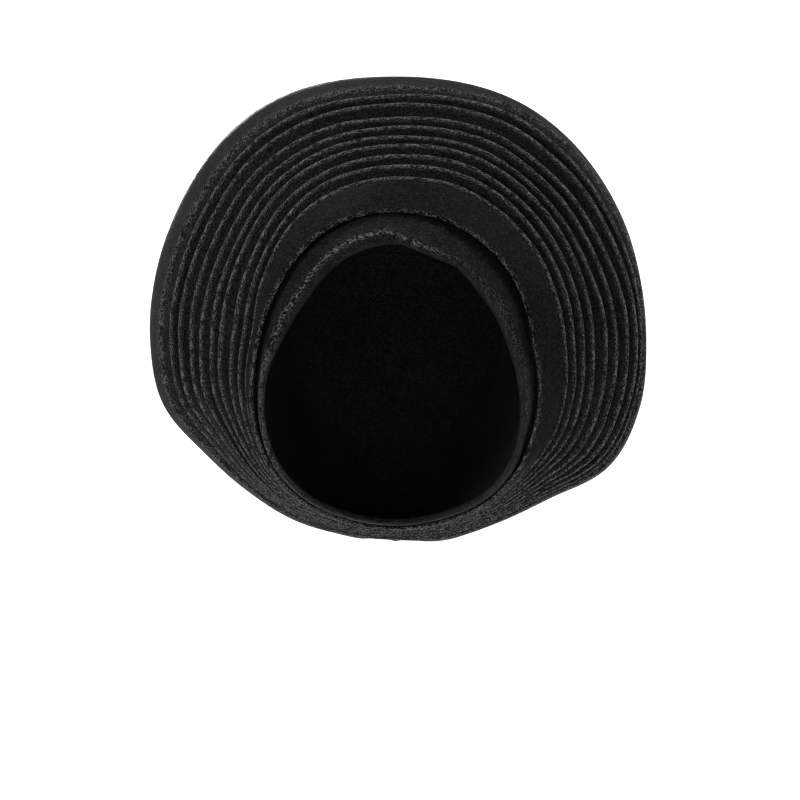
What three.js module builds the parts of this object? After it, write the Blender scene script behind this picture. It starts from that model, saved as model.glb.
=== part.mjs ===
// A tied gele: a stiff woven head wrap whose front stands up as a fan of nested pleats round the
// face, and whose outer panel curls back over the head and closes the back down to the nape.
// Millimetres, +Z up. The wearer faces -Y, and +X is on the right of a front view.
// The origin is the inside of the cap at the crown, where it rests on the head.
import * as THREE from 'three';

// Driving dimensions
const fanCentreZ = -89;     // height of the centre that all sections turn round
const pieceGap = 0.3;       // clearance between neighbouring pieces
const rootGap = 0.5;        // clearance between the roots of neighbouring pleats
const capWall = 1.2;
const capBackY = 97;        // inside of the cap at the back of the head
const headPower = 2.4;      // 2 would be an ellipse, more is squarer
const widestRise = 0.9999;  // the edge of the opening stays just short of the widest line
const capSetback = 6;       // the cap's own edge lies this far in under the face band
const faceHem = 3;          // thickness of the rolled edge of the face band
const faceCloth = 1.4;      // thickness of the face band behind its rolled edge
const browCloth = 2.4;      // two layers and the fold between them
const browLift = 1;         // air between the face band and the fold of the brow band
const pleatDepth = 22;      // crest to root of a pleat that the cap does not cut short
const pleatLeast = 4;
const pleatCloth = [1.5, 2.5];   // thinnest and thickest a folded pleat gets
const panelCloth = 1.6;
const panelBackY = 107;     // middle of the panel's cloth at the back of the head
const panelRoot = 18;       // depth of the panel's front face, below its crease

// Shapes of small sections, in shares of the length or thickness they belong to
const pleatShape = { waistAt: 0.7, waist: 0.85, tip: 0.45 };
const browShape = { shoulder: 0.8, shoulderAt: 0.3 };
const hemShape = {
  fullWidth: 16, least: 0.6, edgeAt: 0.35, endAt: 1.7, backAt: 0.7, edge: 0.6, bulge: 1.1, roll: 0.4,
};

// The wrap crosses over the brow in a straight stretch between two corners
const crossing = { from: 3, to: 40.5, distance: 46.9 };

// The soft gathers of the back panel spread from the nape
const gathers = { centreZ: -225, start: 27, folds: 9, height: 2.2, reach: 95 };

// One row for each section round the face. Angles are from straight up, clockwise in a front view.
// R is a distance from the fan's centre and Y a depth, of these lines:
// cap is the widest line inside the cap, face the edge of the face opening, brow the fold of the
// brow band, crease the outermost crest and rim the widest line of the back panel.
// tuck is how far the face band runs in under the brow band, firstY the depth of the first crest
// and hem how far that crest shows past the brow band. lean is the backward lean of the pleats in
// degrees, and round the power of the panel's curve to the back.
const sectionColumns = ['angle', 'capR', 'capY', 'faceR', 'faceY', 'browR', 'browY', 'tuck', 'hem',
  'firstY', 'creaseY', 'rimR', 'rimY', 'lean', 'round'];
const sectionTable = [
  [-165, 97.0, 52, 96.5, 47, 100.6, 55, 0, 1.5, 60, 79, 111.0, 81, -16, 2.1],
  [-150, 95.5, 25, 95.0, 20, 99.2, 26, 0, 1.5, 31, 56, 113.2, 60, -12, 2.1],
  [-135, 90.2, 2, 89.6, -8, 93.8, -3, 1, 1.6, 2, 32, 115.2, 40, -5, 2.1],
  [-120, 81.5, 3, 80.0, -26, 85.6, -22, 2, 1.8, -16, 14, 120.4, 24, 1, 2.0],
  [-105, 75.8, 5, 69.6, -42, 77.1, -38, 3, 2.0, -32, 1, 130.3, 12, 6, 1.9],
  [-90, 73.0, 5, 59.2, -54, 70.9, -50, 4, 2.0, -44, -9, 132.4, 5, 9, 1.8],
  [-75, 73.5, 5, 52.9, -60, 67.7, -57, 4, 2.4, -50, -14, 134.1, 2, 10, 1.7],
  [-60, 77.0, 5, 49.7, -66, 66.1, -62, 4, 2.8, -54, -17, 136.9, 0, 11, 1.6],
  [-30, 86.5, 5, 49.1, -76, 66.6, -69, 4, 3.4, -60, -20, 145.2, -2, 12, 1.5],
  [0, 89.0, 5, 49.3, -80, 65.8, -72, 4, 3.6, -63, -21, 142.6, -2, 12, 1.5],
  [30, 86.5, 5, 49.2, -76, 66.9, -69, 4, 3.6, -60, -20, 145.0, -2, 12, 1.5],
  [60, 77.0, 5, 50.0, -66, 68.9, -62, 4, 3.6, -54, -17, 139.6, 0, 11, 1.6],
  [75, 73.5, 5, 53.5, -60, 70.0, -57, 4, 3.6, -50, -13, 136.5, 2, 10, 1.7],
  [90, 73.0, 5, 58.0, -54, 71.8, -50, 4, 3.4, -44, -8, 135.6, 6, 9, 1.8],
  [105, 75.8, 5, 66.1, -42, 78.2, -38, 3, 3.0, -32, 2, 137.3, 13, 6, 1.9],
  [120, 81.5, 3, 76.9, -26, 86.0, -22, 2, 2.4, -16, 15, 135.0, 26, 1, 2.0],
  [135, 90.2, 2, 88.2, -8, 94.0, -3, 1, 1.8, 2, 33, 120.9, 42, -5, 2.1],
  [150, 95.5, 25, 95.0, 20, 99.4, 26, 0, 1.5, 31, 57, 115.0, 62, -12, 2.1],
  [165, 97.0, 52, 96.5, 47, 100.8, 55, 0, 1.5, 60, 80, 113.4, 83, -16, 2.1],
  [180, 97.6, 62, 97.1, 57, 101.4, 65, 0, 1.5, 70, 88, 110.4, 90, -18, 2.1],
];

// One row for each pleat, and one for the crease that bounds the last: how far its crest stands
// from the fold of the brow band, where 0, to the rim, where 1, at six angles.
const crestAngles = [-90, -60, 0, 60, 90, 180];
const crestTable = [
  ['pleat_01', 0.09, 0.17, 0.25, 0.27, 0.29, 0.20],
  ['pleat_02', 0.17, 0.23, 0.34, 0.35, 0.37, 0.28],
  ['pleat_03', 0.26, 0.31, 0.41, 0.43, 0.45, 0.36],
  ['pleat_04', 0.37, 0.40, 0.49, 0.51, 0.54, 0.44],
  ['pleat_05', 0.45, 0.47, 0.55, 0.58, 0.65, 0.52],
  ['pleat_06', 0.55, 0.55, 0.62, 0.67, 0.74, 0.60],
  ['pleat_07', 0.64, 0.64, 0.69, 0.75, 0.84, 0.68],
  ['pleat_08', 0.74, 0.73, 0.79, 0.85, 0.92, 0.76],
  ['pleat_09', 0.82, 0.81, 0.86, 0.92, 0.96, 0.84],
  ['crease', 0.90, 0.88, 0.91, 0.97, 0.985, 0.93],
];

// Numbers of sections and of steps along them
const turns = { cap: 36, face: 60, fan: 40 };
const crowding = 17;        // degrees by which the fan's sections crowd towards the nape
const capSteps = 10;
const headSteps = { front: 24, back: 24 };
const panelSteps = { curl: 3, back: 6 };

const radians = THREE.MathUtils.degToRad;

// A smooth closed curve through values at given angles, with slopes from the two neighbours
function ringCurve(angles, values) {
  const count = angles.length;
  const at = (i) => angles[((i % count) + count) % count] + 360 * Math.floor(i / count);
  const value = (i) => values[((i % count) + count) % count];
  const slope = (i) => (value(i + 1) - value(i - 1)) / (at(i + 1) - at(i - 1));
  return (angle) => {
    let turned = angle;
    while (turned < at(0)) turned += 360;
    while (turned >= at(count)) turned -= 360;
    let i = 0;
    while (turned >= at(i + 1)) i += 1;
    const span = at(i + 1) - at(i);
    const t = (turned - at(i)) / span;
    const rise = value(i + 1) - value(i);
    const startBend = slope(i) * span - rise;
    const endBend = rise - slope(i + 1) * span;
    return value(i) + rise * t + t * (1 - t) * ((1 - t) * startBend + t * endBend);
  };
}

const sectionCurves = {};
sectionColumns.forEach((column, c) => {
  sectionCurves[column] = ringCurve(sectionTable.map((row) => row[0]), sectionTable.map((row) => row[c]));
});
const crestCurves = crestTable.map((row) => ringCurve(crestAngles, row.slice(1)));

// All measures of one section
function sectionAt(angle) {
  const section = { angle };
  sectionColumns.slice(1).forEach((column) => {
    section[column] = sectionCurves[column](angle);
  });
  return section;
}

// How far the edge of the face opening comes in where the wrap crosses over the brow
function crossingReach(section) {
  if (section.angle < crossing.from || section.angle > crossing.to) return 0;
  const fromMiddle = radians(section.angle - (crossing.from + crossing.to) / 2);
  return section.faceR - crossing.distance / Math.cos(fromMiddle);
}

// Two-number points [distance from the centre, depth] and steps between them
const step = (point, direction, length) =>
  [point[0] + direction[0] * length, point[1] + direction[1] * length];
const between = (a, b, share) => [a[0] + (b[0] - a[0]) * share, a[1] + (b[1] - a[1]) * share];
const distance = (a, b) => Math.hypot(b[0] - a[0], b[1] - a[1]);
const heading = (a, b) => [(b[0] - a[0]) / distance(a, b), (b[1] - a[1]) / distance(a, b)];

// A path moved sideways by a set distance, or one for each point, to the side away from the head
function offsetPath(path, offsets) {
  return path.map((point, i) => {
    const along = heading(path[Math.max(i - 1, 0)], path[Math.min(i + 1, path.length - 1)]);
    const offset = Array.isArray(offsets) ? offsets[i] : offsets;
    return [point[0] + along[1] * offset, point[1] - along[0] * offset];
  });
}

const pathLength = (path) =>
  path.slice(1).reduce((sum, point, i) => sum + distance(path[i], point), 0);

// The point of a path at a given length from its start
function alongPath(path, length) {
  let left = length;
  for (let i = 0; i < path.length - 1; i += 1) {
    const piece = distance(path[i], path[i + 1]);
    if (left <= piece || i === path.length - 2) return between(path[i], path[i + 1], left / piece);
    left -= piece;
  }
  return path[path.length - 1];
}

// The squared ellipse through the edge of the face opening and the widest line inside the cap
function headFront(section) {
  const edgeRise = Math.min(section.faceR / section.capR, widestRise);
  const edgeRun = (1 - edgeRise ** headPower) ** (1 / headPower);
  return { edgeRise, frontLength: (section.capY - section.faceY) / edgeRun };
}

// The inside of the cap from the face opening to the back of the head: a squared ellipse in front
// of its widest line and another behind it
function headPath(section) {
  const power = 2 / headPower;
  const { edgeRise, frontLength } = headFront(section);
  const edgeTurn = Math.asin(edgeRise ** (1 / power));
  const path = [];
  for (let i = 0; i < headSteps.front; i += 1) {
    const turn = edgeTurn + (Math.PI / 2 - edgeTurn) * (i / headSteps.front);
    path.push([section.capR * Math.sin(turn) ** power, section.capY - frontLength * Math.cos(turn) ** power]);
  }
  for (let i = 0; i <= headSteps.back; i += 1) {
    const turn = (Math.PI / 2) * (1 - i / headSteps.back);
    const backLength = capBackY - section.capY;
    const rise = i === headSteps.back ? 0 : Math.sin(turn) ** power;
    const run = i === 0 ? 0 : Math.cos(turn) ** power;
    path.push([section.capR * rise, section.capY + backLength * run]);
  }
  return path;
}

// How far the outside of the cap and the face band stands from the centre at a given depth
function capReach(section, depth) {
  const behind = depth > section.capY;
  const length = behind ? capBackY - section.capY : headFront(section).frontLength;
  const run = Math.min(Math.abs(depth - section.capY) / length, 1);
  return section.capR * (1 - run ** headPower) ** (1 / headPower) + capWall + faceCloth + 3 * pieceGap;
}

// Crests of the pleats and of the crease, from the front backwards
function crestsAt(section) {
  const reach = section.rimR - panelCloth / 2 - section.browR;
  const last = crestCurves.length - 1;
  return crestCurves.map((curve, i) => {
    const evenly = i / last;
    return [section.browR + reach * curve(section.angle),
      section.firstY + (section.creaseY - section.firstY) * evenly];
  });
}

// Outward direction of a pleat, and the direction across it towards the back
function leanOf(section) {
  const lean = radians(section.lean);
  return { out: [Math.cos(lean), Math.sin(lean)], back: [-Math.sin(lean), Math.cos(lean)] };
}

// Distance across the pleats between one crest and the next
function pitchAfter(section, index) {
  const [here, next] = crestsAt(section).slice(index, index + 2);
  const { back } = leanOf(section);
  return (next[0] - here[0]) * back[0] + (next[1] - here[1]) * back[1];
}

// Half thickness of a pleat, from the room between its neighbours
function pleatHalf(section, index) {
  const room = Math.min(pitchAfter(section, index), pitchAfter(section, Math.max(index - 1, 0)));
  return THREE.MathUtils.clamp(room - 2 * pieceGap, pleatCloth[0], pleatCloth[1]) / 2;
}

// Length of a pleat from crest to root, cut short where the cap is nearer
function pleatLength(section, index) {
  const crest = crestsAt(section)[index];
  const { out } = leanOf(section);
  const root = step(crest, out, -pleatDepth);
  const room = Math.min(crest[0] - capReach(section, crest[1]), crest[0] - capReach(section, root[1]));
  return THREE.MathUtils.clamp(room, pleatLeast, pleatDepth);
}

// Section of a pleat: a wide root that meets its neighbours, a slimmer blade and a round crest
function pleatSection(section, index) {
  const crest = crestsAt(section)[index];
  const { out, back } = leanOf(section);
  const length = pleatLength(section, index);
  const half = pleatHalf(section, index);
  const rootBack = (pitchAfter(section, index) - rootGap) / 2;
  const rootFront = index > 0 ? (pitchAfter(section, index - 1) - rootGap) / 2 : half;
  const { waistAt, waist, tip } = pleatShape;
  const place = (inward, across) => step(step(crest, out, -inward), back, across);
  return [
    place(length, rootBack), place(length * waistAt, half * waist), place(half, half),
    place(0, half * tip), place(0, -half * tip),
    place(half, -half), place(length * waistAt, -half * waist), place(length, -rootFront),
  ];
}

// Section of the cap: its wall runs from under the face band to the back of the head
function capSection(section) {
  const head = headPath(section);
  const stride = (pathLength(head) - capSetback) / capSteps;
  const inside = Array.from({ length: capSteps }, (_, i) => alongPath(head, capSetback + stride * i));
  inside.push([0, capBackY]);
  const outside = offsetPath(inside, capWall);
  outside[outside.length - 1] = [0, capBackY + capWall];
  return { inside, outside };
}

// Section of the face band: a rolled edge, then cloth that lies on the cap up to the brow band
function faceSection(section) {
  const head = headPath(section);
  const along = heading(head[0], alongPath(head, faceHem));
  const towardsFold = [section.browR - section.faceR, section.browY - section.faceY];
  const width = towardsFold[0] * along[0] + towardsFold[1] * along[1] + section.tuck;
  const { edgeAt, endAt, edge, bulge, roll, backAt } = hemShape;
  const hem = faceHem * THREE.MathUtils.clamp(width / hemShape.fullWidth, hemShape.least, 1);
  const start = -crossingReach(section) / along[0];
  const marks = [start, start + hem * edgeAt, start + hem, start + hem * endAt, width * backAt, width];
  const liftOff = capWall + pieceGap;
  const underside = [-capWall * roll, 0, 0, liftOff, liftOff, liftOff];
  const thickness = [hem * edge, hem, hem * bulge, faceCloth * bulge, faceCloth, faceCloth];
  const line = marks.map((mark) => alongPath(head, mark));
  const lower = offsetPath(line, underside);
  const upper = offsetPath(line, underside.map((low, i) => low + thickness[i]));
  return [...lower, ...upper.reverse()];
}

// Section of the brow band: a flat folded strip from its fold to just inside the first crest
function browSection(section) {
  const crest = crestsAt(section)[0];
  const { out, back } = leanOf(section);
  const { shoulder, shoulderAt } = browShape;
  const half = browCloth / 2;
  const aboveCap = (point) => [Math.max(point[0], capReach(section, point[1]) + half), point[1]];
  const fold = aboveCap([section.browR + half, section.browY - browLift]);
  const clear = pleatHalf(section, 0) + pieceGap + half;
  const hem = aboveCap(step(step(crest, out, -section.hem), back, -clear));
  const along = heading(fold, hem);
  const across = [-along[1], along[0]];
  const place = (from, inward, side) => step(step(from, along, inward), across, side);
  return [
    place(hem, 0, -half), place(fold, half, -half), place(fold, -half * shoulderAt, -half * shoulder),
    place(fold, -half, 0),
    place(fold, -half * shoulderAt, half * shoulder), place(fold, half, half), place(hem, 0, half),
  ];
}

// Path of the back panel: up behind the last pleat to the crease, over the rim and to the back
function panelPath(section) {
  const crests = crestsAt(section);
  const crease = crests[crests.length - 1];
  const { out } = leanOf(section);
  const room = crease[0] - capReach(section, crease[1]);
  const rim = section.rimR - panelCloth / 2;
  const path = [step(crease, out, -Math.min(panelRoot, room)), crease];
  for (let i = 1; i <= panelSteps.curl; i += 1) {
    const share = i / panelSteps.curl;
    path.push([crease[0] + (rim - crease[0]) * Math.sin((share * Math.PI) / 2),
      crease[1] + (section.rimY - crease[1]) * share]);
  }
  for (let i = 1; i <= panelSteps.back; i += 1) {
    const turn = (Math.PI / 2) * (i / panelSteps.back);
    const rise = i === panelSteps.back ? 0 : Math.cos(turn) ** (2 / section.round);
    path.push([rim * rise,
      section.rimY + (panelBackY - section.rimY) * Math.sin(turn) ** (2 / section.round)]);
  }
  return path;
}

// Height of the gathers at a point of the back panel, fading away from the nape
function gatherHeight(section, point) {
  const x = point[0] * Math.sin(radians(section.angle));
  const z = fanCentreZ + point[0] * Math.cos(radians(section.angle));
  const spread = Math.atan2(x, z - gathers.centreZ);
  const away = Math.hypot(x, z - gathers.centreZ) - gathers.start;
  const fade = Math.exp(-((away / gathers.reach) ** 2));
  return gathers.height * fade * Math.cos(gathers.folds * spread);
}

// Section of the back panel, its gathers raised on the part behind the rim
function panelSection(section) {
  const path = panelPath(section);
  const firstFree = 2 + panelSteps.curl;
  const last = path.length - 1;
  const fadeIn = (i) => Math.min(Math.max(i - firstFree + 1, 0) / 2, 1);
  const heights = path.map((point, i) => (i < last ? fadeIn(i) * gatherHeight(section, point) : 0));
  const middle = offsetPath(path, heights);
  const outside = offsetPath(middle, panelCloth / 2);
  const inside = offsetPath(middle, -panelCloth / 2);
  const pole = gatherHeight({ angle: 180 }, [0, 0]);
  outside[last] = [0, panelBackY + panelCloth / 2 + pole];
  inside[last] = [0, panelBackY - panelCloth / 2 + pole];
  return { inside, outside };
}

// A point of the section at an angle, in space
function inSpace(point, angle) {
  return [point[0] * Math.sin(radians(angle)), point[1], fanCentreZ + point[0] * Math.cos(radians(angle))];
}

// A closed body from rings of points. Rings close on themselves, and so does the turn round the
// centre. Points on the centre line are shared by all sections.
function ringBody(sections, angles) {
  const positions = [];
  const shared = new Map();
  const indexOf = sections.map((ring, s) => ring.map((point, p) => {
    if (point[0] > 0) return positions.push(inSpace(point, angles[s])) - 1;
    if (!shared.has(p)) shared.set(p, positions.push(inSpace(point, 0)) - 1);
    return shared.get(p);
  }));
  const triangles = [];
  const add = (a, b, c) => {
    if (a !== b && b !== c && c !== a) triangles.push(a, b, c);
  };
  const count = sections.length;
  const size = sections[0].length;
  for (let s = 0; s < count; s += 1) {
    const here = indexOf[s];
    const next = indexOf[(s + 1) % count];
    for (let p = 0; p < size; p += 1) {
      const q = (p + 1) % size;
      if (sections[s][p][0] > 0 || sections[s][q][0] > 0) {
        add(here[p], here[q], next[q]);
        add(here[p], next[q], next[p]);
      }
    }
  }
  const geometry = new THREE.BufferGeometry();
  geometry.setAttribute('position', new THREE.Float32BufferAttribute(positions.flat(), 3));
  geometry.setIndex(triangles);
  geometry.computeVertexNormals();
  return geometry;
}

// Angles all the way round, evenly spaced or crowded towards the nape
function anglesOf(count, crowd) {
  return Array.from({ length: count }, (_, i) => {
    const even = -180 + (360 * i) / count;
    return even + crowd * Math.sin(radians(even));
  });
}

function ringPiece(angles, sectionOf) {
  return ringBody(angles.map((angle) => sectionOf(sectionAt(angle))), angles);
}

// A bowl has an outside and an inside that both reach the centre line at the back
function bowlPiece(angles, sectionOf) {
  const ringOf = (section) => {
    const { inside, outside } = sectionOf(section);
    return [...outside.reverse(), ...inside];
  };
  return ringPiece(angles, ringOf);
}

const cloth = (name, colour, roughness) => {
  const material = new THREE.MeshStandardMaterial({ color: colour, roughness, metalness: 0 });
  material.name = name;
  return material;
};

const headWrap = new THREE.Group();

function addPiece(name, geometry, colour, roughness) {
  const mesh = new THREE.Mesh(geometry, cloth(name, colour, roughness));
  mesh.name = name;
  headWrap.add(mesh);
}

const fanAngles = anglesOf(turns.fan, crowding);
addPiece('head_cap', bowlPiece(anglesOf(turns.cap, 0), capSection), 0x111113, 0.9);
addPiece('face_band', ringPiece(anglesOf(turns.face, 0), faceSection), 0x161618, 0.8);
addPiece('brow_band', ringPiece(fanAngles, browSection), 0x18181a, 0.75);
crestTable.slice(0, -1).forEach((row, i) => {
  addPiece(row[0], ringPiece(fanAngles, (section) => pleatSection(section, i)), 0x1a1a1c, 0.7);
});
addPiece('back_panel', bowlPiece(fanAngles, panelSection), 0x1c1c1f, 0.75);

export default headWrap;
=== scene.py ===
import math

import bmesh
import bpy
import numpy as np
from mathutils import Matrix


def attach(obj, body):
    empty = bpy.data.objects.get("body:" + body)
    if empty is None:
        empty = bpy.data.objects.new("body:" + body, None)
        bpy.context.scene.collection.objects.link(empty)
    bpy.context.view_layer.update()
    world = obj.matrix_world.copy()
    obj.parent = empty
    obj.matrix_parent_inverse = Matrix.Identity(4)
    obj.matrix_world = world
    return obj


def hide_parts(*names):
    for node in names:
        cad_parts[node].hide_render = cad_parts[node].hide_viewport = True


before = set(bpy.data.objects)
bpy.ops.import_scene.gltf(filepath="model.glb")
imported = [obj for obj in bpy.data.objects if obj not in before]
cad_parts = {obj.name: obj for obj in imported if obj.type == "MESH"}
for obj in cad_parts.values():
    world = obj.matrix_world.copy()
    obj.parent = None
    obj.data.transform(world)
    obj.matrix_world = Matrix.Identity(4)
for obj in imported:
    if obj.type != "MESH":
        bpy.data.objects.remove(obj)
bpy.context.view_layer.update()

# A tied gele in stiff black woven cloth. All shapes are worked out in millimetres and placed in
# metres. Every section lies in a half-plane round the fan's front-to-back axis: a point has a
# distance from the axis and a depth, and the angle of its half-plane counts clockwise from the
# top of a front view.
mm = 0.001
fanCentreZ = -89.0


# Camera, lights and floor
camera = dict(place=(2.6, -2000.0, -120.5), lens=167.13, sensor=36.0, sight=50)
studio = dict(  # rectangles of light, each with its spread in degrees
    key=dict(place=(-1400, -850, 350), aim=(0, 0, -90), size=(600, 600), power=11, spread=70),
    top=dict(place=(-550, 150, 1400), aim=(0, 20, -60), size=(900, 350), power=10.5, spread=70),
    side=dict(place=(1250, -50, 950), aim=(0, 0, -80), size=(700, 900), power=14, spread=70),
    back=dict(place=(-450, 1750, 500), aim=(0, 0, -90), size=(500, 500), power=9, spread=70),
)
room = dict(world=0.3, glow=0.75)
floor = dict(height=-450, radius=3200, cove=700, wall=1600, pinhole=0.01, rings=48, turns=96,
             colour=0.86, roughness=0.8)


def placeCamera():
    data = bpy.data.cameras.new("camera")
    data.lens = camera["lens"]
    data.sensor_width = camera["sensor"]
    data.clip_end = camera["sight"]
    seat = bpy.data.objects.new("camera", data)
    seat.location = [c * mm for c in camera["place"]]
    seat.rotation_euler = (math.pi / 2, 0, 0)
    bpy.context.scene.collection.objects.link(seat)
    bpy.context.scene.camera = seat


def placeLights():
    for name, light in studio.items():
        data = bpy.data.lights.new(name, "AREA")
        data.shape = "RECTANGLE"
        data.size, data.size_y = (s * mm for s in light["size"])
        data.energy = light["power"]
        data.spread = math.radians(light["spread"])
        lamp = bpy.data.objects.new(name, data)
        place = np.array(light["place"]) * mm
        aim = np.array(light["aim"]) * mm
        lamp.location = place
        x, y, z = aim - place
        lamp.rotation_euler = (math.atan2(math.hypot(x, y), -z), 0, math.atan2(-x, y))
        bpy.context.scene.collection.objects.link(lamp)
    world = bpy.data.worlds.new("studio")
    world.use_nodes = True
    world.node_tree.nodes["Background"].inputs["Color"].default_value = (1, 1, 1, 1)
    world.node_tree.nodes["Background"].inputs["Strength"].default_value = room["world"]
    bpy.context.scene.world = world
    bpy.context.scene.view_settings.view_transform = "Standard"


placeCamera()
placeLights()
print("camera and lights placed")


# Shader wiring
class Wire:
    # One socket of a material. Arithmetic adds Math nodes, and node() adds any other node.
    def __init__(self, tree, socket=None):
        self.tree = tree
        self.socket = socket

    def node(self, kind, settings=None, inputs=None, output=0):
        made = self.tree.nodes.new(kind)
        for name, value in (settings or {}).items():
            setattr(made, name, value)
        for name, value in (inputs or {}).items():
            if isinstance(value, Wire):
                self.tree.links.new(value.socket, made.inputs[name])
            else:
                made.inputs[name].default_value = value
        return Wire(self.tree, made.outputs[output])

    def math(self, operation, first, second=0.0):
        return self.node("ShaderNodeMath", dict(operation=operation), {0: first, 1: second})

    def __add__(self, other):
        return self.math("ADD", self, other)

    __radd__ = __add__

    def __sub__(self, other):
        return self.math("SUBTRACT", self, other)

    def __rsub__(self, other):
        return self.math("SUBTRACT", other, self)

    def __mul__(self, other):
        return self.math("MULTIPLY", self, other)

    __rmul__ = __mul__

    def __pow__(self, other):
        return self.math("POWER", self, other)

    def __rpow__(self, other):
        return self.math("POWER", other, self)

    def __gt__(self, other):
        return self.math("GREATER_THAN", self, other)


# Woven cloth
def wovenCloth(name, cloth):
    # Short raised floats in staggered rows, each with its own shade at random and painted darker
    # towards its edges as shade between floats, and bright threads that glint at random; along a
    # fold their colour is brightened as a painted highlight. A float's crown is 4 t (1 - t) to a
    # power, across it and along it
    material = bpy.data.materials.new(name)
    material.use_nodes = True
    tree = material.node_tree
    tree.nodes.clear()
    wire = Wire(tree)
    place = wire.node("ShaderNodeTexCoord", output="Object")
    weave = wire.node("ShaderNodeUVMap", dict(uv_map="weave"))
    along = wire.node("ShaderNodeSeparateXYZ", inputs={"Vector": weave}, output="X")
    inward = wire.node("ShaderNodeSeparateXYZ", inputs={"Vector": weave}, output="Y")
    fold = wire.node("ShaderNodeAttribute", dict(attribute_name="fold"), output="Fac")

    def noise(kind):
        scale, detail = cloth[kind]
        return wire.node("ShaderNodeTexNoise", inputs={"Vector": place, "Scale": scale, "Detail": detail})

    wobble = noise("wobble")
    mottle = noise("mottle")
    fibre = noise("fibre")

    rows = inward * (1 / mm / cloth["row"]) + wobble * cloth["rowSway"]
    row = wire.math("FLOOR", rows)
    inRow = wire.math("FRACT", rows)
    stagger = row * 0.5 + inRow * cloth["slant"]  # half a stitch from row to row
    floats = along * (1 / mm / cloth["stitch"]) + wobble * cloth["stitchSway"] + stagger
    stitch = wire.math("FLOOR", floats)
    inStitch = wire.math("FRACT", floats)
    cell = wire.node("ShaderNodeCombineXYZ", inputs={"X": stitch, "Y": row})
    chance = wire.node("ShaderNodeTexWhiteNoise", dict(noise_dimensions="2D"), {"Vector": cell})
    crown = ((inRow * (1 - inRow) * 4) ** cloth["rowCrown"]
             * (inStitch * (1 - inStitch) * 4) ** cloth["stitchCrown"])
    height = crown * (chance * cloth["ownRise"] + cloth["rise"]) + fibre * cloth["fuzz"]

    # The cube of an even chance is a quarter on average, so uneven leaves the mean shade alone
    own = chance ** 3 * cloth["uneven"] + (cloth["level"] - cloth["uneven"] / 4)
    # The shade follows the crown, so each float is painted darker towards its edges: painted shade
    # between floats, on top of its own shade at random
    shade = crown * own * (mottle * cloth["patchy"] + (1 - cloth["patchy"] / 2))
    # Along a fold the threads' colour is brightened whatever the lamps do: a painted highlight
    glint = (chance > cloth["glintAbove"]) * crown * (fold * cloth["foldPaintedHighlight"] + cloth["glint"])
    colour = wire.node("ShaderNodeMix", dict(data_type="RGBA"),
                       {"Factor": shade, "A": (*cloth["dark"], 1), "B": (*cloth["light"], 1)}, 2)
    bright = wire.node("ShaderNodeMix", dict(data_type="RGBA"),
                       {"Factor": glint, "A": colour, "B": (*cloth["thread"], 1)}, 2)
    bump = wire.node("ShaderNodeBump", inputs={
        "Height": height, "Distance": cloth["relief"] * mm, "Strength": cloth["bump"]})
    surface = wire.node("ShaderNodeBsdfPrincipled", inputs={
        "Base Color": bright, "Normal": bump, "Metallic": glint * cloth["metal"],
        "Roughness": cloth["roughness"] - glint * cloth["polish"] + (mottle - 0.5) * cloth["rubbed"],
        "Specular IOR Level": cloth["gloss"]})
    out = tree.nodes.new("ShaderNodeOutputMaterial")
    tree.links.new(surface.socket, out.inputs["Surface"])
    return material


blackCloth = dict(
    row=0.5, stitch=0.75, slant=0.7, rowSway=0.8, stitchSway=1.2,      # the weave, rows in mm
    wobble=(130.0, 2.0), mottle=(38.0, 3.0), fibre=(1900.0, 2.0),      # noises: scale and detail
    rowCrown=0.7, stitchCrown=0.5, ownRise=0.6, rise=0.5, fuzz=0.3, relief=0.3, bump=0.9,
    dark=(0.0005, 0.0005, 0.0006), light=(0.0138, 0.0138, 0.0151), thread=(0.25, 0.255, 0.265),
    level=0.475, uneven=1.3, patchy=0.8,
    glint=0.008, foldPaintedHighlight=0.25, glintAbove=0.7, metal=0.8,
    roughness=0.5, polish=0.25, rubbed=0.1, gloss=0.01)


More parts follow.
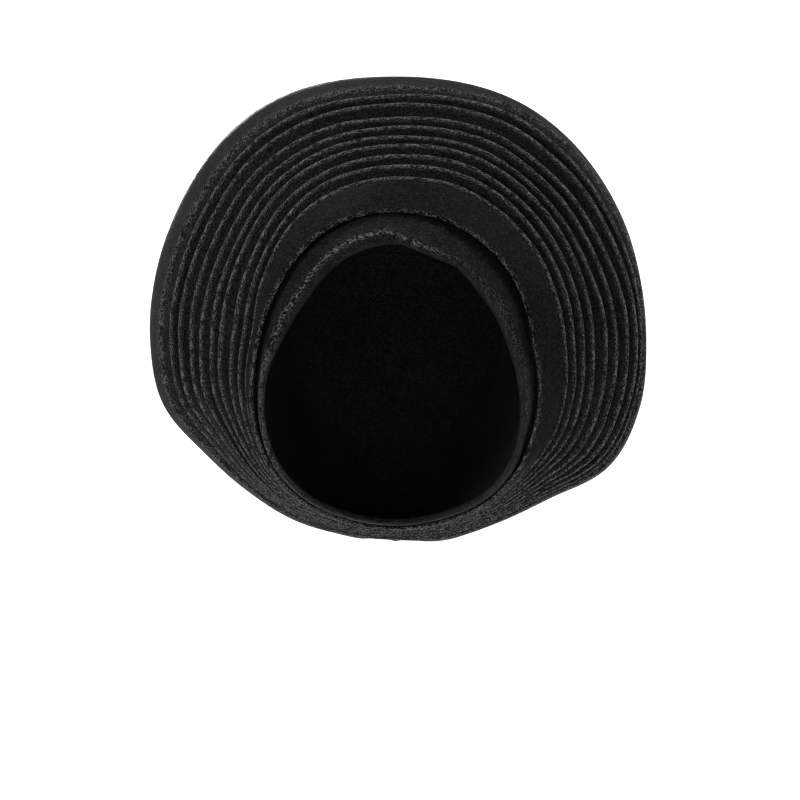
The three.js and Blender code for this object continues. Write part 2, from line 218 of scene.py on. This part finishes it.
# Sections round the opening
# cap is the widest line inside the cap, face the edge of the face opening, brow the fold of the
# brow band, crease the outermost crest and rim the widest line of the back panel. R is a distance
# from the axis and Y a depth. tuck is how far the face band runs in under the brow band, hem how
# far the first crest shows past it and firstY its depth. lean tips the pleats back, in degrees,
# and round is the power of the panel's curve to the back.
sectionColumns = ["angle", "capR", "capY", "faceR", "faceY", "browR", "browY", "tuck", "hem",
                  "firstY", "creaseY", "rimR", "rimY", "lean", "round"]
sectionTable = [
    [-165, 97.0, 52, 96.5, 47, 100.6, 55, 0, 1.5, 60, 79, 111.0, 81, -16, 2.1],
    [-150, 95.5, 25, 95.0, 20, 99.2, 26, 0, 1.5, 31, 56, 113.2, 60, -12, 2.1],
    [-135, 90.2, 2, 89.6, -8, 93.8, -3, 1, 1.6, 2, 32, 115.2, 40, -5, 2.1],
    [-120, 81.5, 3, 80.0, -26, 85.6, -22, 2, 1.8, -16, 14, 120.4, 24, 1, 2.0],
    [-105, 75.8, 5, 69.6, -42, 77.1, -38, 3, 2.0, -32, 1, 130.3, 12, 6, 1.9],
    [-90, 73.0, 5, 59.2, -54, 70.9, -50, 4, 2.0, -44, -9, 132.4, 5, 9, 1.8],
    [-75, 73.5, 5, 52.9, -60, 67.7, -57, 4, 2.4, -50, -14, 134.1, 2, 10, 1.7],
    [-60, 77.0, 5, 49.7, -66, 66.1, -62, 4, 2.8, -54, -17, 136.9, 0, 11, 1.6],
    [-30, 86.5, 5, 49.1, -76, 66.6, -69, 4, 3.4, -60, -20, 145.2, -2, 12, 1.5],
    [0, 89.0, 5, 49.3, -80, 65.8, -72, 4, 3.6, -63, -21, 142.6, -2, 12, 1.5],
    [30, 86.5, 5, 49.2, -76, 66.9, -69, 4, 3.6, -60, -20, 145.0, -2, 12, 1.5],
    [60, 77.0, 5, 50.0, -66, 68.9, -62, 4, 3.6, -54, -17, 139.6, 0, 11, 1.6],
    [75, 73.5, 5, 53.5, -60, 70.0, -57, 4, 3.6, -50, -13, 136.5, 2, 10, 1.7],
    [90, 73.0, 5, 58.0, -54, 71.8, -50, 4, 3.4, -44, -8, 135.6, 6, 9, 1.8],
    [105, 75.8, 5, 66.1, -42, 78.2, -38, 3, 3.0, -32, 2, 137.3, 13, 6, 1.9],
    [120, 81.5, 3, 76.9, -26, 86.0, -22, 2, 2.4, -16, 15, 135.0, 26, 1, 2.0],
    [135, 90.2, 2, 88.2, -8, 94.0, -3, 1, 1.8, 2, 33, 120.9, 42, -5, 2.1],
    [150, 95.5, 25, 95.0, 20, 99.4, 26, 0, 1.5, 31, 57, 115.0, 62, -12, 2.1],
    [165, 97.0, 52, 96.5, 47, 100.8, 55, 0, 1.5, 60, 80, 113.4, 83, -16, 2.1],
    [180, 97.6, 62, 97.1, 57, 101.4, 65, 0, 1.5, 70, 88, 110.4, 90, -18, 2.1],
]
crestAngles = [-90, -60, 0, 60, 90, 180]
crestTable = {  # how far a crest stands from the brow fold, where 0, to the rim, where 1
    "pleat_01": [0.09, 0.17, 0.25, 0.27, 0.29, 0.20],
    "pleat_02": [0.17, 0.23, 0.34, 0.35, 0.37, 0.28],
    "pleat_03": [0.26, 0.31, 0.41, 0.43, 0.45, 0.36],
    "pleat_04": [0.37, 0.40, 0.49, 0.51, 0.54, 0.44],
    "pleat_05": [0.45, 0.47, 0.55, 0.58, 0.65, 0.52],
    "pleat_06": [0.55, 0.55, 0.62, 0.67, 0.74, 0.60],
    "pleat_07": [0.64, 0.64, 0.69, 0.75, 0.84, 0.68],
    "pleat_08": [0.74, 0.73, 0.79, 0.85, 0.92, 0.76],
    "pleat_09": [0.82, 0.81, 0.86, 0.92, 0.96, 0.84],
    "crease": [0.90, 0.88, 0.91, 0.97, 0.985, 0.93],
}
wrap = dict(turns=480, crowding=17, gap=0.3, capWall=1.2, faceCloth=1.4, panelCloth=1.6,
            capBackY=97, panelBackY=107, capPower=2.4, widestRise=0.9999)


def ringCurve(knots, values, at):
    # Smooth closed curve: the slope at a knot is the rise between its neighbours over their span,
    # and a cubic with those slopes joins each pair of knots
    knots = np.concatenate([np.array(knots, float) + turn for turn in (-360, 0, 360)])
    values = np.tile(np.array(values, float), 3)
    slopes = (np.roll(values, -1) - np.roll(values, 1)) / (np.roll(knots, -1) - np.roll(knots, 1))
    i = np.searchsorted(knots, at, side="right") - 1
    span = knots[i + 1] - knots[i]
    t = (at - knots[i]) / span
    rise = values[i + 1] - values[i]
    startBend = slopes[i] * span - rise
    endBend = rise - slopes[i + 1] * span
    return values[i] + rise * t + t * (1 - t) * ((1 - t) * startBend + t * endBend)


def sectionsAt(angles):
    # Every column of the table at all angles at once, each with one trailing axis for steps
    columns = np.array(sectionTable, float).T
    return {name: ringCurve(columns[0], columns[i], angles)[:, None]
            for i, name in enumerate(sectionColumns) if i}


even = -180 + 360 * np.arange(wrap["turns"]) / wrap["turns"]
angles = even + wrap["crowding"] * np.sin(np.radians(even))  # crowded towards the nape
around = sectionsAt(angles)


def ripple(seed, folds):
    # Smooth seeded waviness all the way round, between -1 and 1: a sum of slow sine waves
    dice = np.random.default_rng(seed)
    turns = np.array(folds)
    phases = dice.uniform(0, 2 * math.pi, len(turns))
    sizes = dice.uniform(0.5, 1.0, len(turns))
    waves = np.sin(np.radians(angles)[:, None] * turns + phases) * sizes
    return (waves.sum(1) / sizes.sum())[:, None]


# Paths: arrays of [section, step, (distance, depth)]
def stack(r, y):
    r, y = np.broadcast_arrays(r, y)
    return np.stack([r, y], -1)


def headings(path):
    # Unit direction at each step, from its two neighbours
    ahead = np.concatenate([path[:, 1:], path[:, -1:]], 1)
    behind = np.concatenate([path[:, :1], path[:, :-1]], 1)
    run = ahead - behind
    return run / np.maximum(np.linalg.norm(run, axis=-1, keepdims=True), 1e-9)


def sideways(path, offset):
    # The path moved to its outer side, by one offset or one for each step
    along = headings(path)
    offset = np.broadcast_to(offset, path.shape[:2])
    return path + np.stack([along[..., 1], -along[..., 0]], -1) * offset[..., None]


def lengths(path):
    # Length along the path up to each step
    steps = np.linalg.norm(np.diff(path, axis=1), axis=-1)
    return np.concatenate([np.zeros((len(path), 1)), np.cumsum(steps, 1)], 1)


def resample(path, marks):
    # Points at the given lengths from the start, on a straight line before it
    reach = lengths(path)
    marks = np.broadcast_to(marks, (len(path), np.shape(marks)[-1]))
    before = np.minimum(marks, 0)[..., None]
    found = [np.stack([np.interp(m, s, p[:, 0]), np.interp(m, s, p[:, 1])], -1)
             for m, s, p in zip(marks, reach, path)]
    start = headings(path)[:, :1]
    return np.array(found) + start * before


def capFront(s):
    # Rise of the opening's edge over the widest line, and the length of the squared ellipse there
    rise = np.minimum(s["faceR"] / s["capR"], wrap["widestRise"])
    run = (1 - rise ** wrap["capPower"]) ** (1 / wrap["capPower"])
    return rise, (s["capY"] - s["faceY"]) / run


def capPath(s, steps=40):
    # Inside of the cap: distance is the widest distance times sine to the power 2 / capPower, and
    # depth the same with cosine, on one squared ellipse in front of the widest line, one behind
    power = 2 / wrap["capPower"]
    rise, front = capFront(s)
    start = np.arcsin(rise ** (1 / power))
    t = np.arange(steps) / steps
    turn = start + (math.pi / 2 - start) * t
    before = stack(s["capR"] * np.sin(turn) ** power, s["capY"] - front * np.cos(turn) ** power)
    turn = math.pi / 2 * (1 - np.arange(steps + 1) / steps)
    back = wrap["capBackY"] - s["capY"]
    after = stack(s["capR"] * np.sin(turn) ** power,
                  s["capY"] + back * np.maximum(np.cos(turn), 0) ** power)
    after[:, -1, 0] = 0
    return np.concatenate([before, after], 1)


def capReach(s, depth):
    # Distance of the outside of the cap and the face band at a depth, with a gap at each layer
    length = np.where(depth > s["capY"], wrap["capBackY"] - s["capY"], capFront(s)[1])
    run = np.minimum(np.abs(depth - s["capY"]) / length, 1)
    wall = wrap["capWall"] + wrap["faceCloth"] + 3 * wrap["gap"]
    return s["capR"] * (1 - run ** wrap["capPower"]) ** (1 / wrap["capPower"]) + wall


# Meshes
def inSpace(points):
    # Distance and depth to metres in the row's frame
    turn = np.radians(angles)[:, None]
    return np.stack([points[..., 0] * np.sin(turn), points[..., 1] + 0 * turn,
                     fanCentreZ + points[..., 0] * np.cos(turn)], -1) * mm


def closed(grid, axis):
    # The grid with its first line repeated at the end
    return np.concatenate([grid, np.take(grid, [0], axis)], axis)


def quads(grid):
    # The four corners of every cell of a grid of numbers or points
    return np.stack([grid[:-1, :-1], grid[1:, :-1], grid[1:, 1:], grid[:-1, 1:]], 2)


def ringWeave(rings, crest, begin=0.0):
    # Metres of cloth at the corners of every face: run is the length along the crest's line from
    # begin, and reach the length round the section from the crest
    line = inSpace(rings)[:, crest]
    pace = np.linalg.norm(np.roll(line, -1, 0) - line, axis=-1)
    run = begin + np.concatenate([[0], np.cumsum(pace)])[:, None]
    reach = lengths(closed(rings, 1)) * mm
    reach = closed(reach - reach[:, crest:crest + 1], 0)
    return quads(np.stack(np.broadcast_arrays(run, reach), -1))


def domeWeave(rings, crest, flatFrom):
    # The same round the side of a bowl, and the cloth's own level directions within flatFrom of
    # the axis, where the rings would bunch up
    space = closed(closed(inSpace(rings), 1), 0)
    level = quads(space[..., [0, 2]])
    near = quads(closed(closed(rings, 1), 0)[..., 0]).max(-1) < flatFrom
    return np.where(near[..., None, None], level, ringWeave(rings, crest))


def ringMesh(name, rings, weave, fold, bowl=False):
    # A closed body from a closed ring of points for each section, all the way round the axis
    space = inSpace(rings)
    count, size = rings.shape[:2]
    index = closed(closed(np.arange(count * size).reshape(count, size), 0), 1)
    corners = quads(index).reshape(-1, 4)
    cloth = weave.reshape(-1, 4, 2)
    points = space.reshape(-1, 3)
    a, b, c, d = points[corners].transpose(1, 0, 2)
    volume = (a * np.cross(b, c)).sum() + (a * np.cross(c, d)).sum()
    if volume < 0:
        corners = corners[:, ::-1]
        cloth = cloth[:, ::-1]
    mesh = bpy.data.meshes.new(name)
    mesh.from_pydata(points, [], corners)
    mesh.uv_layers.new(name="weave").data.foreach_set("uv", cloth.astype(np.float32).ravel())
    # fold carries where a highlight is painted into the cloth's colour, along crests and folds
    mark = mesh.attributes.new("fold", "FLOAT", "POINT")
    mark.data.foreach_set("value", np.broadcast_to(fold, (count, size)).astype(np.float32).ravel())
    if bowl:  # the points on the axis become one
        form = bmesh.new()
        form.from_mesh(mesh)
        bmesh.ops.remove_doubles(form, verts=form.verts, dist=1e-6)
        form.to_mesh(mesh)
        form.free()
    mesh.polygons.foreach_set("use_smooth", np.ones(len(mesh.polygons), bool))
    mesh.update()
    piece = bpy.data.objects.new(name, mesh)
    bpy.context.scene.collection.objects.link(piece)
    return piece


def dress(piece, node, material):
    # The piece gets its material and hangs from the root body, and its node is hidden, so the
    # piece takes the node's place
    piece.data.materials.append(material)
    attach(piece, "root")
    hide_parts(node)


def smooth(value, low, high):
    # 0 below low, 1 above high, and an S between them
    t = np.clip((value - low) / (high - low), 0, 1)
    return t * t * (3 - 2 * t)


def nose(inward, length):
    # Half thickness of a rounded fold, as a share: a quarter of an ellipse, then full
    t = np.clip(inward / length, 0, 1)
    return np.sqrt(1 - (1 - t) ** 2)


# Crests of the fan
crestWave = dict(  # sizes of the waves, how many go round, and the angles where they calm down
    shared=0.6, own=0.42, depth=0.3, folds=[3, 5, 7, 11, 16], lead=0.6,
    calm=(92, 120), calmBy=0.75, sharedSeed=3, ownSeed=20, depthSeed=40)


def crestLines():
    # Distance and depth of every crest, evenly stepped in depth, with a little waviness that
    # neighbouring crests share and that calms down low at the sides
    reach = around["rimR"] - wrap["panelCloth"] / 2 - around["browR"]
    last = len(crestTable) - 1
    shared = ripple(crestWave["sharedSeed"], crestWave["folds"])
    calm = 1 - crestWave["calmBy"] * smooth(np.abs(angles[:, None]), *crestWave["calm"])
    lines = []
    for i, shares in enumerate(crestTable.values()):
        swing = crestWave["shared"] * math.sin(math.pi * (i + crestWave["lead"]) / (last + 1))
        own = crestWave["own"] * ripple(crestWave["ownSeed"] + i, crestWave["folds"])
        deep = crestWave["depth"] * ripple(crestWave["depthSeed"] + i, crestWave["folds"])
        share = ringCurve(crestAngles, shares, angles)[:, None]
        distance = around["browR"] + reach * share + (swing * shared + own) * calm
        depth = around["firstY"] + (around["creaseY"] - around["firstY"]) * i / last + deep * calm
        lines.append(np.concatenate([distance, depth], 1))
    return lines


crests = crestLines()
tilt = np.radians(around["lean"])
outward = np.concatenate([np.cos(tilt), np.sin(tilt)], 1)
backward = np.concatenate([-np.sin(tilt), np.cos(tilt)], 1)
pitches = [((crests[i + 1] - crests[i]) * backward).sum(1)[:, None] for i in range(len(crests) - 1)]


def fromCrest(crest, inward, across):
    # Points that lie inward from a crest and across it to the back
    return (crest[:, None] - outward[:, None] * np.asarray(inward)[..., None]
            + backward[:, None] * np.asarray(across)[..., None])


# Pleats
pleat = dict(
    depth=22, least=4, steps=24, gather=1.7,             # crest to root, where there is room
    blade=0.8, waistAt=0.7, rootGap=0.5,                 # half thickness of the blade, and the root
    cover=0.96, narrow=1.8, reach=5.6, longest=0.8,      # width of the roll
    roll=2.2, steep=0.45, behind=1.3, peak=0.46,         # height of the roll, and where it is highest
    uneven=0.35, folds=[2, 3, 5, 8], seed=60,
    settleFrom=-94, settleBy=-114, loose=(-168, -142),   # angles between which pleats lie flush
    settled=[0.2, 0.5, 0.6, 0.5, 0.3, 0.0, 1.0, 1.0, 1.0], under=0.3, rampBy=0.9, rampEnd=1.3,
    shineAt=0.35, shineWidth=0.45, shineBehind=0.4, slip=0.0137,
    foldedWidth=[13, 15, 17, 19, 20, 21, 22, 23, 23],
    length=[580, 600, 620, 650, 670, 690, 720, 740, 760])


def pleatHalf(i):
    # Half thickness of a pleat's blade, within the room between its neighbours
    room = np.minimum(pitches[i], pitches[max(i - 1, 0)])
    return np.minimum(room / 2 - wrap["gap"], pleat["blade"])


def pleatRings(i):
    # A folded strip: a round roll at the crest that swells to the front, a thin blade behind the
    # pleat before it, and a root that widens to meet its neighbours. The roll is as wide as the
    # step from that pleat's crest. Low on the left most pleats settle flush against the one before
    crest = crests[i]
    root = crest - outward * pleat["depth"]
    room = np.minimum(crest[:, :1] - capReach(around, crest[:, 1:]),
                      crest[:, :1] - capReach(around, root[:, 1:]))
    length = np.clip(room, pleat["least"], pleat["depth"])
    inward = length * (np.arange(pleat["steps"] + 1) / pleat["steps"]) ** pleat["gather"]
    blade = pleatHalf(i)
    step = ((crests[i] - crests[i - 1] if i else crests[1] - crests[0]) * outward).sum(1)[:, None]
    wide = np.clip(step * pleat["cover"], pleat["narrow"], pleat["reach"])
    wide = np.minimum(wide, length * pleat["longest"])
    peak = wide * pleat["peak"]
    swell = nose(inward, peak)
    fall = 1 - smooth(inward, peak, wide)

    turn = angles[:, None]
    settled = (pleat["settled"][i] * (1 - smooth(turn, pleat["settleBy"], pleat["settleFrom"]))
               * smooth(turn, *pleat["loose"]))
    roll = (np.minimum(pleat["roll"], wide * pleat["steep"])
            * (1 + pleat["uneven"] * ripple(pleat["seed"] + i, pleat["folds"])))
    before = swell * (blade + (roll - blade) * fall)
    flush = pitches[max(i - 1, 0)] - wrap["gap"] - pleat["under"]
    ramp = (np.minimum(inward / (pleat["rampBy"] * wide), 1)
            * (flush + (blade - flush) * smooth(inward, wide, wide + pleat["rampEnd"])))
    before = before + (ramp - before) * settled
    back = np.clip(pitches[i] - wrap["gap"] - blade, blade, pleat["behind"])
    back = back + (blade - back) * settled
    after = swell * (blade + (back - blade) * fall)

    flare = smooth(inward / length, pleat["waistAt"], 1)
    rootBefore = (pitches[i - 1] - pleat["rootGap"]) / 2 if i else blade
    rootAfter = (pitches[i] - pleat["rootGap"]) / 2
    front = fromCrest(crest, inward, -before * (1 - flare) - rootBefore * flare)
    behind = fromCrest(crest, inward, after * (1 - flare) + rootAfter * flare)
    # shine marks where a highlight is painted into the cloth's colour along the crest, less on the back
    shine = np.exp(-((inward - pleat["shineAt"] * peak) / (pleat["shineWidth"] * peak)) ** 2)
    return (np.concatenate([behind[:, ::-1], front[:, 1:]], 1),
            np.concatenate([pleat["shineBehind"] * shine[:, ::-1], shine[:, 1:]], 1))


pleatCloth = wovenCloth("pleatCloth", blackCloth)
for i, name in enumerate(list(crestTable)[:-1]):
    rings, fold = pleatRings(i)
    weave = ringWeave(rings, pleat["steps"], pleat["slip"] * i)  # no two pleats have the same floats
    piece = ringMesh(name + "_cloth", rings, weave, fold)
    dress(piece, name, pleatCloth)
print("pleats made")


# Brow band
brow = dict(cloth=2.4, lift=1, nose=1.6, puff=0.5, steps=16, gather=1.6, shine=1.2, flat=(14, 520),
            # light is darker here than on the pleats though it is the same cloth: painted shade on the
            # band
            light=(0.006, 0.006, 0.0064))


def browRings():
    # A flat folded strip from its rounded fold to just inside the first crest, puffed by the
    # square of a sine over its width
    half = brow["cloth"] / 2
    clear = pleatHalf(0) + wrap["gap"] + half

    def aboveCap(points):
        return np.concatenate([np.maximum(points[:, :1], capReach(around, points[:, 1:]) + half),
                               points[:, 1:]], 1)

    fold = aboveCap(np.concatenate([around["browR"] + half, around["browY"] - brow["lift"]], 1))
    hem = aboveCap(crests[0] - outward * around["hem"] - backward * clear)
    run = hem - fold
    width = np.linalg.norm(run, axis=1, keepdims=True)
    along = run / width
    across = np.stack([along[:, 1], -along[:, 0]], 1)  # to the front
    start = fold - along * half
    inward = (width + half) * (np.arange(brow["steps"] + 1) / brow["steps"]) ** brow["gather"]
    thick = half * nose(inward, brow["nose"])
    puff = brow["puff"] * np.sin(math.pi * inward / (width + half)) ** 2
    base = start[:, None] + along[:, None] * inward[..., None]
    front = base + across[:, None] * (thick + puff)[..., None]
    behind = base - across[:, None] * thick[..., None]
    # shine marks where a highlight is painted along the rounded fold
    shine = np.exp(-(inward / brow["shine"]) ** 2)
    return (np.concatenate([behind[:, ::-1], front[:, 1:]], 1),
            np.concatenate([shine[:, ::-1], shine[:, 1:]], 1))


browCloth = wovenCloth("browCloth", dict(blackCloth, light=brow["light"]))
rings, fold = browRings()
piece = ringMesh("brow_band_cloth", rings, ringWeave(rings, brow["steps"]), fold)
dress(piece, "brow_band", browCloth)
print("brow band made")


# Face band
face = dict(
    steps=30, gather=1.3, roll=5.0, crisp=1.8,            # width of the rolled edge, and where tight
    height=4.2, tightHeight=0.5, fullWidth=16, leastShare=0.45, edge=0.25,
    tightFrom=(-6, 6), tightTo=(70, 110),                 # angles of the tight stretch
    beside=(35, 75), nape=(130, 160), fill=0.95,          # angles where the edge fills its room
    below=1.8, thick=1.5, thin=0.9, spare=0.5,            # room under the brow band, and the cloth
    tuckIn=2, crown=3, lip=2.0, deep=0.5, onCap=(2.2, 5.0), raised=(1, 3),
    shine=1.2, shineIn=0.6, paintedShineCut=0.75, paintedShineCutFrom=(15, 50),
    # light is darker here than on the pleats though it is the same cloth: painted shade on the band
    flat=(19, 420), light=(0.0088, 0.0088, 0.0094))
crossing = dict(start=3, end=40.5, distance=46.9)  # angles of the straight stretch over the brow


def crossingReach():
    # How far the edge comes in where the wrap crosses over the brow, in a straight line at one
    # distance from the axis
    turn = angles[:, None]
    inside = (turn > crossing["start"]) & (turn < crossing["end"])
    aside = np.where(inside, turn - (crossing["start"] + crossing["end"]) / 2, 0)
    reach = around["faceR"] - crossing["distance"] / np.cos(np.radians(aside))
    return np.where(inside, reach, 0)


def faceRings():
    # Cloth on the cap whose edge rolls in round the opening: the roll rises as a quarter of an
    # ellipse to its ridge, where a highlight is painted, and the cloth behind it rises to just under
    # the brow fold.
    # It is tight where the wrap crosses over the brow
    path = capPath(around)
    along = headings(path)[:, 2]
    toFold = np.concatenate([around["browR"] - around["faceR"], around["browY"] - around["faceY"]], 1)
    width = (toFold * along).sum(1)[:, None] + around["tuck"]
    start = -crossingReach() / along[:, :1]
    inward = start + (width - start) * (np.arange(face["steps"] + 1) / face["steps"]) ** face["gather"]
    fromEdge = inward - start
    line = resample(path, inward)
    last = headings(line)[:, -1]
    away = np.stack([last[:, 1], -last[:, 0]], -1)
    brink = np.concatenate([around["browR"], around["browY"]], 1)
    room = ((brink - line[:, -1]) * away).sum(1)[:, None] - face["below"]

    turn = angles[:, None]
    small = np.clip(width / face["fullWidth"], face["leastShare"], 1)
    tight = smooth(turn, *face["tightFrom"]) * (1 - smooth(turn, *face["tightTo"]))
    beside = smooth(np.abs(turn), *face["beside"]) * (1 - smooth(np.abs(turn), *face["nape"]))
    roll = (face["roll"] * (1 - tight) + face["crisp"] * tight) * small
    wall = wrap["capWall"] + wrap["gap"]
    behind = wall + wrap["faceCloth"]
    height = behind + (face["height"] - behind) * small * (1 - face["tightHeight"] * tight)
    height = height + np.maximum(face["fill"] * room - height, 0) * beside
    slope = smooth(fromEdge, roll, np.maximum(width - start - face["tuckIn"], roll + face["crown"]))
    top = np.where(fromEdge < roll,
                   height * (face["edge"] + (1 - face["edge"]) * nose(fromEdge, roll)),
                   height + (np.maximum(room, behind) - height) * slope)
    under = wall * smooth(fromEdge, *face["onCap"]) - face["deep"] * (1 - nose(fromEdge, face["lip"]))
    under = np.minimum(under, top - face["thin"])
    lifted = np.maximum(under, (top - face["thick"]) * smooth(fromEdge, *face["raised"]))
    under = np.where(top > wall + face["thick"] + face["spare"], lifted, under)

    ridge = roll * (1 - face["shineIn"] * beside)
    # Less highlight is painted on the right, where the lamps light the band less: painted shade on that
    # side
    paintedShineCut = face["paintedShineCut"] * smooth(turn, *face["paintedShineCutFrom"])
    shine = np.exp(-((fromEdge - ridge) / face["shine"]) ** 2) * (1 - paintedShineCut)
    return (np.concatenate([sideways(line, under)[:, ::-1], sideways(line, top)], 1),
            np.concatenate([0 * shine, shine], 1))


faceCloth = wovenCloth("faceCloth", dict(blackCloth, light=face["light"]))
rings, fold = faceRings()
piece = ringMesh("face_band_cloth", rings, ringWeave(rings, face["steps"] + 1), fold)
dress(piece, "face_band", faceCloth)
print("face band made")


# Head cap
cap = dict(setback=6, steps=60, weaveStep=20, level=60,
           folds=0.5, length=9, slant=1.3, start=0.6, fadeIn=(10, 25), fadeOut=(4, 30), highest=0.2,
           flat=(300, 250), light=(0.01, 0.01, 0.0105), uneven=0.8)


def capRings():
    # Windings of cloth: the wall follows the inside of the cap, with low slanting folds that are
    # a sine of the way in, shifted by a sine of the angle
    line = capPath(around, cap["steps"])
    whole = lengths(line)[:, -1:]
    inward = cap["setback"] + (whole - cap["setback"]) * np.arange(cap["steps"] + 1) / cap["steps"]
    inside = resample(line, inward)
    inside[:, -1] = (0, wrap["capBackY"])
    turn = np.radians(angles)[:, None]
    slant = np.sin(inward / cap["length"] + cap["slant"] * np.sin(turn + cap["start"]))
    fade = smooth(inward, *cap["fadeIn"]) * smooth(whole - inward, *cap["fadeOut"])
    relief = np.minimum(cap["folds"] * slant * fade, cap["highest"])
    outside = sideways(inside, wrap["capWall"] + relief)
    inside = sideways(inside, relief)
    inside[:, -1] = (0, wrap["capBackY"])
    outside[:, -1] = (0, wrap["capBackY"] + wrap["capWall"])
    return np.concatenate([outside[:, ::-1], inside], 1)


plainCloth = wovenCloth("plainCloth", dict(blackCloth, light=cap["light"], uneven=cap["uneven"]))
rings = capRings()
weave = domeWeave(rings, cap["steps"] - cap["weaveStep"], cap["level"])
piece = ringMesh("head_cap_cloth", rings, weave, 0.0, bowl=True)
dress(piece, "head_cap", plainCloth)
print("head cap made")


# Back panel
panel = dict(root=18, rise=7, curl=10, back=48, level=85, crease=1.6, creaseShine=0.7,
             # light is lighter here than on the pleats though it is the same cloth: painted sheen where
             # the panel turns up to the lamps at a grazing angle
             flat=(370, 300), light=(0.019, 0.019, 0.02), uneven=1.0)
gathers = dict(centreZ=-225, start=27, reach=125, fadeSteps=12, sharp=2.2, shine=0.6,
               folds=9, height=5.0, fine=31, fineHeight=0.9, fineTurn=0.7,
               bend=0.07, bendLength=23, bendTurns=4)


def panelPath():
    # Up behind the last pleat to the crease, over the rim by a quarter sine, and to the back on a
    # squared ellipse: distance is rimR * cosine and depth is sine, both to the power 2 / round
    crease = crests[-1]
    room = crease[:, :1] - capReach(around, crease[:, 1:])
    root = np.linspace(1, 0, panel["rise"] + 1)[None, :-1] * np.minimum(panel["root"], room)
    front = fromCrest(crease, root, 0 * root)
    rim = around["rimR"] - wrap["panelCloth"] / 2
    share = np.arange(panel["curl"] + 1) / panel["curl"]
    curl = stack(crease[:, :1] + (rim - crease[:, :1]) * np.sin(share * math.pi / 2),
                 crease[:, 1:] + (around["rimY"] - crease[:, 1:]) * share)
    turn = math.pi / 2 * np.arange(1, panel["back"] + 1) / panel["back"]
    power = 2 / around["round"]
    back = stack(rim * np.maximum(np.cos(turn), 0) ** power,
                 around["rimY"] + (wrap["panelBackY"] - around["rimY"]) * np.sin(turn) ** power)
    back[:, -1, 0] = 0
    return np.concatenate([front, curl, back], 1)


def gatherHeight(path):
    # Folds that fan out from a centre below the nape and bend a little on the way: each is half
    # of one plus the cosine of its direction, to a power that sharpens it, and fades with the
    # square of the distance
    turn = np.radians(angles)[:, None]
    x = path[..., 0] * np.sin(turn)
    z = fanCentreZ + path[..., 0] * np.cos(turn) - gathers["centreZ"]
    away = np.hypot(x, z) - gathers["start"]
    spread = np.arctan2(x, z)
    bend = np.sin(away / gathers["bendLength"] + gathers["bendTurns"] * spread)
    spread = spread + gathers["bend"] * bend

    def folds(count, shift):
        return (0.5 + 0.5 * np.cos(count * spread + shift)) ** gathers["sharp"]

    broad = gathers["height"] * folds(gathers["folds"], 0)
    fine = gathers["fineHeight"] * folds(gathers["fine"], gathers["fineTurn"])
    return (broad + fine) * np.exp(-(away / gathers["reach"]) ** 2)


def panelRings():
    # Two layers of points round the path, its gathers raised on the part behind the rim, with a
    # highlight painted into the colour along the crease and on the ridges of the gathers
    path = panelPath()
    behindRim = np.arange(path.shape[1]) - panel["rise"] - panel["curl"]
    heights = gatherHeight(path) * np.clip(behindRim / gathers["fadeSteps"], 0, 1)
    middle = sideways(path, heights)
    half = wrap["panelCloth"] / 2
    outside = sideways(middle, half)
    inside = sideways(middle, -half)
    pole = heights[0, -1]
    outside[:, -1] = (0, wrap["panelBackY"] + half + pole)
    inside[:, -1] = (0, wrap["panelBackY"] - half + pole)
    crease = panel["rise"]
    fromCrease = lengths(path) - lengths(path)[:, crease:crease + 1]
    # Painted highlight along the crease and on the ridges of the gathers
    shine = panel["creaseShine"] * np.exp(-(fromCrease / panel["crease"]) ** 2)
    shine = np.maximum(shine, gathers["shine"] * heights / gathers["height"])
    return (np.concatenate([outside[:, ::-1], inside], 1),
            np.concatenate([shine[:, ::-1], 0 * shine], 1))


panelCloth = wovenCloth("panelCloth", dict(blackCloth, light=panel["light"], uneven=panel["uneven"]))
rings, fold = panelRings()
weave = domeWeave(rings, panel["back"], panel["level"])
piece = ringMesh("back_panel_cloth", rings, weave, fold, bowl=True)
dress(piece, "back_panel", panelCloth)
print("back panel made")


# Floor
def studioFloor():
    # A disc whose edge sweeps up in a quarter circle to an upright wall, closed all the way round
    turn = np.linspace(0, math.pi / 2, floor["rings"])
    sweep = stack(floor["radius"] + floor["cove"] * np.sin(turn), floor["cove"] * (1 - np.cos(turn)))
    middle = np.array([[floor["pinhole"], 0]])
    top = np.array([[floor["radius"] + floor["cove"], floor["wall"]]])
    line = np.concatenate([middle, sweep, top])
    spin = np.linspace(0, 2 * math.pi, floor["turns"] + 1)[:, None]
    grid = np.stack([line[:, 0] * np.sin(spin), line[:, 0] * np.cos(spin),
                     line[:, 1] + floor["height"] + 0 * spin], -1) * mm
    index = np.arange(grid.shape[0] * grid.shape[1]).reshape(grid.shape[:2])
    mesh = bpy.data.meshes.new("floor")
    mesh.from_pydata(grid.reshape(-1, 3), [], quads(index).reshape(-1, 4))
    mesh.polygons.foreach_set("use_smooth", np.ones(len(mesh.polygons), bool))
    mesh.update()
    piece = bpy.data.objects.new("floor", mesh)
    bpy.context.scene.collection.objects.link(piece)
    pale = bpy.data.materials.new("paleFloor")
    pale.use_nodes = True
    base = pale.node_tree.nodes["Principled BSDF"]
    base.inputs["Base Color"].default_value = (*[floor["colour"]] * 3, 1)
    base.inputs["Roughness"].default_value = floor["roughness"]
    base.inputs["Emission Color"].default_value = (1, 1, 1, 1)
    base.inputs["Emission Strength"].default_value = room["glow"]
    mesh.materials.append(pale)


studioFloor()
print("floor made")
